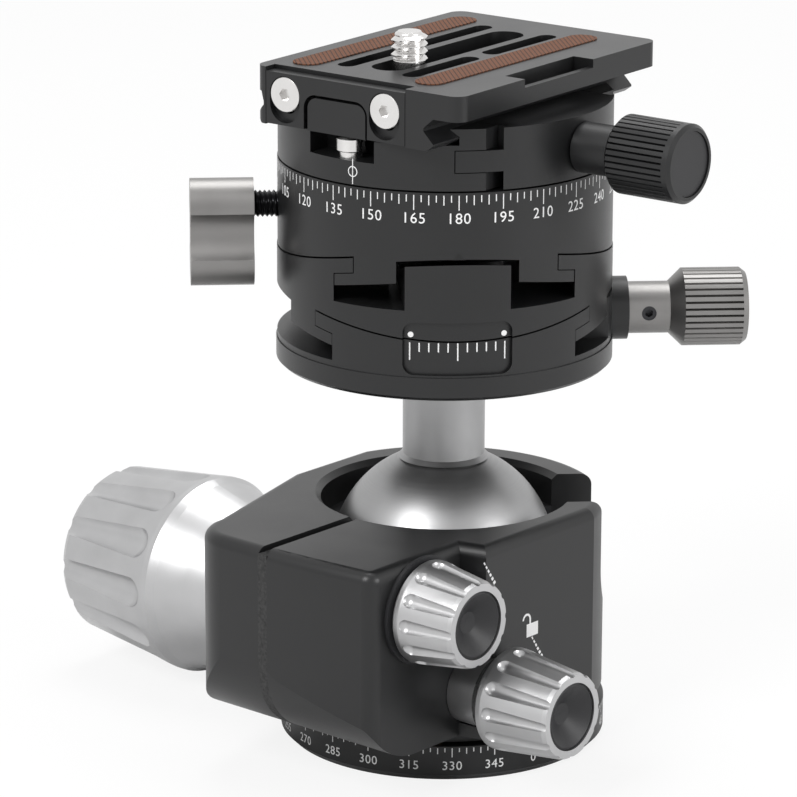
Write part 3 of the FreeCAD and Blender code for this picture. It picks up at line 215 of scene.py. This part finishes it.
finishes = {
    "black_anodised": anodised("blackAnodised", (0.006, 0.0061, 0.0065), (0.0095, 0.0097, 0.0102),
                               rough=0.36, specular=0.42),
    "titanium_grey": metal("titaniumGrey", (0.2, 0.195, 0.19), (0.26, 0.255, 0.25), rough=0.4),
    "stainless_steel": metal("stainlessSteel", (0.62, 0.61, 0.6), (0.75, 0.74, 0.73), rough=0.24),
    "black_steel": metal("blackSteel", (0.03, 0.03, 0.032), (0.06, 0.06, 0.064), rough=0.35),
    "brass": metal("machinedBrass", (0.6, 0.42, 0.16), (0.75, 0.55, 0.25), rough=0.3),
    "black_rubber": rubber("coarseRubber", (0.003, 0.003, 0.003), (0.075, 0.075, 0.075),
                           rough=0.8, grainSize=0.0006, depth=0.0004),
    "black_plastic": anodised("blackPlastic", (0.01, 0.01, 0.011), (0.018, 0.018, 0.02),
                              rough=0.45, specular=0.4, grain=0.00002),
    "brown_rubber": crossHatch("brownCorkRubber"),
    "satin_aluminium": metal("knobAluminium", (0.4, 0.4, 0.404), (0.5, 0.5, 0.505),
                             rough=0.36, axis=knobAxis, spacing=0.00015, depth=0.000008),
}
ballFinish = metal("ballAluminium", (0.3, 0.3, 0.303), (0.38, 0.38, 0.383),
                   rough=0.4, axis=upAxis, spacing=0.00018, depth=0.000004)
dialWhite = paint("dialWhite", (0.8, 0.8, 0.8))
print("finishes made")

slotOf = {part["node"]: part["material_slot"] for part in frame["record"]["subparts"]}
ownFinish = {"ball_with_neck": ballFinish}
for name, thing in frame["nodes"].items():
    coat = ownFinish.get(name) or finishes[slotOf[name]]
    for holder in thing.material_slots:
        holder.material = coat
    if not thing.material_slots:
        thing.data.materials.append(coat)
print("CAD pieces coated")


# Pieces made here

def putPiece(name, mesh, body, coat):
    piece = bpy.data.objects.new(name, mesh)
    bpy.context.scene.collection.objects.link(piece)
    mesh.materials.clear()
    mesh.materials.append(coat)
    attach(piece, body)
    return piece


def meshFrom(build, name):
    made = bmesh.new()
    build(made)
    bmesh.ops.recalc_face_normals(made, faces=made.faces)
    mesh = bpy.data.meshes.new(name)
    made.to_mesh(mesh)
    made.free()
    return mesh


def joinMeshes(name, meshes):
    def build(made):
        for mesh in meshes:
            made.from_mesh(mesh)
    joined = meshFrom(build, name)
    for mesh in meshes:
        bpy.data.meshes.remove(mesh)
    return joined


# Dial marks: a ring of ticks, where every second one is longer and every fifth or sixth the longest

def tickTree():
    tree = bpy.data.node_groups.new("tickRing", "GeometryNodeTree")
    sockets = (("Radius", "Float"), ("Top", "Float"), ("Start", "Float"), ("Step", "Float"),
               ("Count", "Int"), ("Short", "Float"), ("Medium", "Float"), ("Long", "Float"),
               ("Long Every", "Int"), ("Width", "Float"), ("Thickness", "Float"), ("Coat", "Material"))
    tree.interface.new_socket(name="Geometry", in_out="INPUT", socket_type="NodeSocketGeometry")
    for name, kind in sockets:
        tree.interface.new_socket(name=name, in_out="INPUT", socket_type="NodeSocket" + kind)
    tree.interface.new_socket(name="Geometry", in_out="OUTPUT", socket_type="NodeSocketGeometry")
    graph = Graph(tree)
    entry = tree.nodes.new("NodeGroupInput")
    given = {name: Wire(graph, entry.outputs[name]) for name, _ in sockets}
    index = graph.node("GeometryNodeInputIndex")
    nearZero = 0.5  # a remainder below this counts as none
    angle = given["Start"] + index * given["Step"]
    second = (index % 2.0) < nearZero
    longOne = (index % given["Long Every"]) < nearZero
    length = (given["Short"] + second * (given["Medium"] - given["Short"])
              + longOne * (given["Long"] - given["Medium"]))
    spot = graph.node("ShaderNodeCombineXYZ", {}, {
        "X": given["Radius"] * angle.calc("COSINE"),
        "Y": given["Radius"] * angle.calc("SINE"),
        "Z": given["Top"] - length * 0.5})
    line = graph.node("GeometryNodeMeshLine", {}, {"Count": given["Count"]})
    points = graph.node("GeometryNodeSetPosition", {}, {"Geometry": line, "Position": spot})
    tick = graph.node("GeometryNodeMeshCube", {}, {"Size": (1.0, 1.0, 1.0)})
    turned = graph.node("ShaderNodeCombineXYZ", {}, {"Z": angle})
    stretch = graph.node("ShaderNodeCombineXYZ", {}, {
        "X": given["Thickness"], "Y": given["Width"], "Z": length})
    ticks = graph.node("GeometryNodeInstanceOnPoints", {}, {
        "Points": points, "Instance": tick, "Rotation": turned, "Scale": stretch})
    real = graph.node("GeometryNodeRealizeInstances", {}, {"Geometry": ticks})
    coated = graph.node("GeometryNodeSetMaterial", {}, {"Geometry": real, "Material": given["Coat"]})
    way = tree.nodes.new("NodeGroupOutput")
    tree.links.new(coated.socket, way.inputs["Geometry"])
    return tree


def grow(tree, name, values):  # runs a geometry tree and gives its plain mesh
    seed = bpy.data.objects.new(name + "Seed", bpy.data.meshes.new(name + "Seed"))
    bpy.context.scene.collection.objects.link(seed)
    growth = seed.modifiers.new("growth", "NODES")
    growth.node_group = tree
    for item in tree.interface.items_tree:
        if item.in_out == "INPUT" and item.name in values:
            growth[item.identifier] = values[item.name]
    seed.update_tag()
    ready = seed.evaluated_get(bpy.context.evaluated_depsgraph_get())
    mesh = bpy.data.meshes.new_from_object(ready)
    bpy.data.objects.remove(seed)
    return mesh


figureType = {"capShare": 0.7, "spread": 1.08, "curveSteps": 3, "halfThick": 0.01}


def flatText(words, height):  # flat letters as a mesh, centred on the origin
    curve = bpy.data.curves.new("figures", "FONT")
    curve.body = words
    curve.size = height / figureType["capShare"]
    curve.align_x = "CENTER"
    curve.resolution_u = figureType["curveSteps"]
    curve.extrude = figureType["halfThick"] * mm
    curve.space_character = figureType["spread"]
    thing = bpy.data.objects.new("figures", curve)
    bpy.context.scene.collection.objects.link(thing)
    bpy.context.view_layer.update()
    ready = thing.evaluated_get(bpy.context.evaluated_depsgraph_get())
    mesh = bpy.data.meshes.new_from_object(ready)
    bpy.data.objects.remove(thing)
    return mesh


def wrapped(mesh, radius, angle, height):  # bends flat marks round a drum
    for vertex in mesh.vertices:
        x, y, lift = vertex.co
        turn = angle + x / radius
        reach = radius + lift
        vertex.co = (reach * math.cos(turn), reach * math.sin(turn), height + y)
    return mesh


dials = {
    "baseDial": {"body": "base", "radius": 29.1, "top": 6.25, "short": 0.75, "medium": 1.1,
                 "long": 1.7, "figureFoot": 2.2, "figureHeight": 1.6, "front": 331.0, "step": 2.5,
                 "longEvery": 6, "figureEvery": 15},
    "topDial": {"body": "dial", "radius": 29.4, "top": 105.6, "short": 1.2, "medium": 1.7,
                "long": 2.6, "figureFoot": 100.7, "figureHeight": 1.85, "front": 180.0, "step": 2.5,
                "longEvery": 6, "figureEvery": 15},
}
tiltScale = {"radius": 28.8, "top": 79.6, "short": 1.6, "long": 3.1, "spacing": 1.65, "count": 11,
             "longEvery": 5, "bolder": 1.3, "dotRadius": 0.5, "dotHeight": 81.0, "dotSide": 8.1}
lineWidth = {"tick": 0.17 * mm, "lift": 0.03 * mm}
ring = tickTree()
frontAngle = math.radians(-90.0)
for name, dial in dials.items():
    zeroAngle = frontAngle - math.radians(dial["front"])
    ticks = grow(ring, name, {
        "Radius": dial["radius"] * mm, "Top": dial["top"] * mm, "Start": zeroAngle,
        "Step": math.radians(dial["step"]), "Count": int(360 / dial["step"]),
        "Short": dial["short"] * mm, "Medium": dial["medium"] * mm, "Long": dial["long"] * mm,
        "Long Every": dial["longEvery"], "Width": lineWidth["tick"],
        "Thickness": lineWidth["lift"], "Coat": dialWhite})
    putPiece(name + "Ticks", ticks, dial["body"], dialWhite)
    figures = []
    for value in range(0, 360, dial["figureEvery"]):
        angle = zeroAngle + math.radians(value)
        figure = flatText(str(value), dial["figureHeight"] * mm)
        figures.append(wrapped(figure, dial["radius"] * mm, angle, dial["figureFoot"] * mm))
    putPiece(name + "Figures", joinMeshes(name + "Figures", figures), dial["body"],
             dialWhite)

scaleRadius = tiltScale["radius"] * mm
scaleStep = tiltScale["spacing"] / tiltScale["radius"]
scaleTicks = grow(ring, "tiltScale", {
    "Radius": scaleRadius, "Top": tiltScale["top"] * mm, "Step": scaleStep,
    "Count": tiltScale["count"], "Start": frontAngle - scaleStep * (tiltScale["count"] - 1) / 2,
    "Short": tiltScale["short"] * mm, "Medium": tiltScale["short"] * mm,
    "Long": tiltScale["long"] * mm, "Long Every": tiltScale["longEvery"],
    "Width": lineWidth["tick"] * tiltScale["bolder"], "Thickness": lineWidth["lift"],
    "Coat": dialWhite})
putPiece("tiltScaleTicks", scaleTicks, "gear_base", dialWhite)


def flatShape(outlines, name):  # thin flat shapes from lists of outline points in metres
    def build(made):
        for points in outlines:
            low = [made.verts.new((x, y, -lineWidth["lift"] / 2)) for x, y in points]
            high = [made.verts.new((x, y, lineWidth["lift"] / 2)) for x, y in points]
            made.faces.new(high)
            made.faces.new(low[::-1])
            for k in range(len(points)):
                after = (k + 1) % len(points)
                made.faces.new((low[k], low[after], high[after], high[k]))
    return meshFrom(build, name)


def disc(x, y, radius, sides=24):
    turns = [math.tau * k / sides for k in range(sides)]
    return [(x + radius * math.cos(a), y + radius * math.sin(a)) for a in turns]


def bar(x0, y0, x1, y1):
    return [(x0, y0), (x1, y0), (x1, y1), (x0, y1)]


def arcBars(x, y, inner, outer, end, count):  # short flat pieces in a band, from the right round
    shapes = []
    for k in range(count):
        a = end * k / count
        b = end * (k + 1) / count
        shapes.append([(x + r * math.cos(t), y + r * math.sin(t))
                       for r, t in ((inner, a), (outer, a), (outer, b), (inner, b))])
    return shapes


dots = [disc(side * tiltScale["dotSide"] * mm, 0.0, tiltScale["dotRadius"] * mm) for side in (-1, 1)]
dotMesh = wrapped(flatShape(dots, "tiltDots"), scaleRadius, frontAngle, tiltScale["dotHeight"] * mm)
putPiece("tiltScaleDots", dotMesh, "middle", dialWhite)

clampMark = {"radius": 29.3, "turn": -127.0, "foot": 106.4, "length": 4.4, "circle": 0.95,
             "circleHeight": 2.2, "circleParts": 24}
markWidth = lineWidth["tick"]
markShapes = [bar(-markWidth / 2, 0.0, markWidth / 2, clampMark["length"] * mm)]
markShapes += arcBars(0.0, clampMark["circleHeight"] * mm, clampMark["circle"] * mm - markWidth,
                      clampMark["circle"] * mm, math.tau, clampMark["circleParts"])
markMesh = wrapped(flatShape(markShapes, "clampMark"), clampMark["radius"] * mm,
                   math.radians(clampMark["turn"]), clampMark["foot"] * mm)
putPiece("clampIndexMark", markMesh, "clamp", dialWhite)


# Panel marks on the socket's side: x runs away from the slit, y upwards

panel = {"side": 27.3, "arcs": (((-21.2, 42.0), (-18.0, 37.2)), ((-8.0, 25.1), (-4.9, 20.4))),
         "dashes": 6, "dashWidth": 0.6, "dashShare": 0.62, "thinStart": 0.35, "lock": (-7.9, 26.5),
         "lockWidth": 3.1, "lockHeight": 2.4, "shackle": 1.15, "shackleWidth": 0.4,
         "shackleLeg": 0.9, "shackleParts": 8}


def dashedLine(start, end, count, width):  # dashes that widen towards the end
    (x0, y0), (x1, y1) = start, end
    length = math.hypot(x1 - x0, y1 - y0)
    ux, uy = (x1 - x0) / length, (y1 - y0) / length
    shapes = []
    for k in range(count):
        a = length * k / count
        b = a + panel["dashShare"] * length / count
        half = width * (panel["thinStart"] + (1 - panel["thinStart"]) * (k + 1) / count) / 2
        shapes.append([((x0 + ux * t - uy * s) * mm, (y0 + uy * t + ux * s) * mm)
                       for t, s in ((a, -half), (b, -half), (b, half), (a, half))])
    return shapes


lockX, lockY = panel["lock"]
halfLock = panel["lockWidth"] / 2
lockTop = lockY + panel["lockHeight"] / 2
panelShapes = []
for arc in panel["arcs"]:
    panelShapes += dashedLine(*arc, panel["dashes"], panel["dashWidth"])
panelShapes.append(bar((lockX - halfLock) * mm, (lockY - panel["lockHeight"] / 2) * mm,
                       (lockX + halfLock) * mm, lockTop * mm))
shackleX = lockX - halfLock
shackleTop = lockTop + panel["shackleLeg"]
shackleInner = panel["shackle"] - panel["shackleWidth"]
panelShapes += arcBars(shackleX * mm, shackleTop * mm, shackleInner * mm, panel["shackle"] * mm,
                       math.pi, panel["shackleParts"])
panelShapes.append(bar((shackleX + shackleInner) * mm, lockTop * mm,
                       (shackleX + panel["shackle"]) * mm, shackleTop * mm))
panelMesh = flatShape(panelShapes, "panelMarks")
acrossPanel = Vector((-knobAxis[1], knobAxis[0], 0.0))
outOfPanel = Vector(knobAxis)
for vertex in panelMesh.vertices:
    x, y, lift = vertex.co
    vertex.co = acrossPanel * x + Vector(upAxis) * y + outOfPanel * (panel["side"] * mm + lift)
putPiece("panelMarks", panelMesh, "socket", dialWhite)
print("dials and panel marked")


# Screw threads that show

def threadedRod(spec):
    steps = spec["sides"]

    def build(made):
        rows = []
        count = int((spec["end"] - spec["start"]) / spec["pitch"] * spec["rowsPerPitch"])
        for row in range(count + 1):
            z = spec["start"] + (spec["end"] - spec["start"]) * row / count
            ease = min(1.0, (spec["end"] - z) / spec["chamfer"]) if spec["chamfer"] else 1.0
            points = []
            for k in range(steps):
                phase = (z / spec["pitch"] - k / steps) % 1.0
                cut = spec["depth"] * abs(2.0 * phase - 1.0)
                r = (spec["radius"] - spec["depth"] + (spec["depth"] - cut) * ease
                     - spec["chamfer"] * 0.5 * (1.0 - ease)) * mm
                a = math.tau * k / steps
                points.append(made.verts.new((r * math.cos(a), r * math.sin(a), z * mm)))
            rows.append(points)
        for low, high in zip(rows, rows[1:]):
            for k in range(steps):
                after = (k + 1) % steps
                made.faces.new((low[k], low[after], high[after], high[k]))
        made.faces.new(rows[-1])
        made.faces.new(rows[0][::-1])
    return meshFrom(build, spec["name"])


def turnedMesh(name, points, sides=64):  # solid turned about Z from (radius, height) in millimetres
    def build(made):
        rings = []
        for r, z in points:
            if r == 0:
                rings.append([made.verts.new((0.0, 0.0, z * mm))])
                continue
            turns = [math.tau * k / sides for k in range(sides)]
            rings.append([made.verts.new((r * mm * math.cos(a), r * mm * math.sin(a), z * mm))
                          for a in turns])
        for low, high in zip(rings, rings[1:]):
            for k in range(sides):
                after = (k + 1) % sides
                if len(low) == 1:
                    made.faces.new((low[0], high[after], high[k]))
                elif len(high) == 1:
                    made.faces.new((low[k], low[after], high[0]))
                else:
                    made.faces.new((low[k], low[after], high[after], high[k]))
    return meshFrom(build, name)


def smoothed(mesh, degrees=32.0):
    mesh.shade_smooth()
    mesh.set_sharp_from_angle(angle=math.radians(degrees))
    return mesh


cameraScrew = {"name": "cameraScrewThread", "radius": 3.175, "pitch": 1.27, "depth": 0.72,
               "start": 124.8, "end": 129.8, "chamfer": 0.9, "sides": 56, "rowsPerPitch": 10,
               "across": 0.6, "along": -11.5}
headSize = {"radius": 5.4, "bottom": 117.3, "top": 119.3, "neck": 2.8, "neckTop": 125.0}
headProfile = (
    (0, headSize["bottom"]),
    (headSize["radius"], headSize["bottom"]),
    (headSize["radius"], headSize["top"]),
    (headSize["neck"], headSize["top"]),
    (headSize["neck"], headSize["neckTop"]),
    (0, headSize["neckTop"]),
)
screwHead = turnedMesh("cameraScrewHead", headProfile)
screwMesh = smoothed(joinMeshes("cameraScrewThread", [threadedRod(cameraScrew), screwHead]))
screwSpot = (Vector(clampAxis) * cameraScrew["across"] + Vector(plateAxis) * cameraScrew["along"]) * mm
screwMesh.transform(Matrix.Translation(screwSpot))
screwPiece = putPiece("cameraScrewThread", screwMesh, "camera_screw",
                      finishes["stainless_steel"])
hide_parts("camera_screw")

leverScrew = {"name": "leverScrewThread", "radius": 2.4, "pitch": 0.8, "depth": 0.45,
              "start": 21.4, "end": 41.7, "chamfer": 0.0, "sides": 40, "rowsPerPitch": 8,
              "height": 97.5}
leverMesh = smoothed(threadedRod(leverScrew))
leverMesh.transform(Matrix.Translation((0.0, 0.0, leverScrew["height"] * mm))
                    @ Matrix.Rotation(math.radians(-90.0), 4, "Y"))
leverPiece = putPiece("leverScrewThread", leverMesh, "pan_lever", finishes["black_steel"])
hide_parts("pan_lever_screw")
print("threads cut")


# Camera, floor and lights

camera = {"place": (-61.8, -767.8, 286.85), "ahead": (0.0698, 0.9976), "pitch": 16.317,
          "roll": 0.189, "lens": 204.27, "sensor": 36.0, "near": 0.05, "far": 20.0}
pitch = math.radians(camera["pitch"])
aheadX, aheadY = camera["ahead"]
ahead = Vector((aheadX * math.cos(pitch), aheadY * math.cos(pitch), -math.sin(pitch)))
ahead.normalize()
right = ahead.cross(Vector(upAxis)).normalized()
top = right.cross(ahead)
turn = Matrix((right, top, -ahead)).transposed().to_4x4()
lensData = bpy.data.cameras.new("studioCamera")
lensData.lens = camera["lens"]
lensData.sensor_width = camera["sensor"]
lensData.clip_start = camera["near"]
lensData.clip_end = camera["far"]
studioCamera = bpy.data.objects.new("studioCamera", lensData)
bpy.context.scene.collection.objects.link(studioCamera)
studioCamera.matrix_world = (Matrix.Translation(Vector(camera["place"]) * mm) @ turn
                             @ Matrix.Rotation(math.radians(camera["roll"]), 4, "Z"))
bpy.context.scene.camera = studioCamera


def backdropRays(graph):  # camera rays alone, and those with mirror and clear ones
    def ray(kind):
        return graph.node("ShaderNodeLightPath", out=kind)
    seen = ray("Is Camera Ray")
    return seen, seen.calc("MAXIMUM", ray("Is Glossy Ray")).calc("MAXIMUM", ray("Is Transmission Ray"))


white = (1.0, 1.0, 1.0, 1.0)
floorSize = {"half": 1.5, "shadowShare": 0.14, "paper": (0.85, 0.85, 0.85, 1.0)}
skyLight = {"ambient": 0.35}


def floorSquare(made):
    half = floorSize["half"]
    made.faces.new([made.verts.new((x, y, 0.0)) for x, y in bar(-half, -half, half, half)])


floorMesh = meshFrom(floorSquare, "studioFloor")
floor = bpy.data.objects.new("studioFloor", floorMesh)
bpy.context.scene.collection.objects.link(floor)
floorCoat = Finish("paperWhite")
seen, _ = backdropRays(floorCoat)
paper = floorCoat.node("ShaderNodeBsdfDiffuse", {}, {"Color": floorSize["paper"]})
glow = floorCoat.node("ShaderNodeEmission", {}, {"Color": white, "Strength": 1.0})
blend = floorCoat.node("ShaderNodeMixShader", {}, {
    0: seen * (1.0 - floorSize["shadowShare"]), 1: paper, 2: glow})
floorCoat.node("ShaderNodeOutputMaterial", {}, {"Surface": blend})
floorMesh.materials.append(floorCoat.material)

sky = bpy.data.worlds.new("studioSky")
sky.use_nodes = True
skyGraph = Graph(sky.node_tree)
sky.node_tree.nodes.clear()
_, shown = backdropRays(skyGraph)
strength = shown * (1.0 - skyLight["ambient"]) + skyLight["ambient"]
glowing = skyGraph.node("ShaderNodeBackground", {}, {"Color": white, "Strength": strength})
skyGraph.node("ShaderNodeOutputWorld", {}, {"Surface": glowing})
bpy.context.scene.world = sky

lamps = {
    "keyLamp": {"place": (-0.75, -0.75, 0.95), "size": 0.6, "power": 12.0},
    "fillLamp": {"place": (0.95, -0.6, 0.45), "size": 0.5, "power": 6.0},
    "topLamp": {"place": (0.1, 0.35, 1.1), "size": 0.7, "power": 7.0},
}
headMiddle = Vector((0.0, 0.0, 0.07))
for name, lamp in lamps.items():
    light = bpy.data.lights.new(name, "AREA")
    light.shape = "SQUARE"
    light.size = lamp["size"]
    light.energy = lamp["power"]
    holder = bpy.data.objects.new(name, light)
    bpy.context.scene.collection.objects.link(holder)
    holder.location = lamp["place"]
    aim = headMiddle - Vector(lamp["place"])
    holder.rotation_euler = aim.to_track_quat("-Z", "Y").to_euler()
bpy.context.scene.view_settings.view_transform = "Standard"
print("studio set")
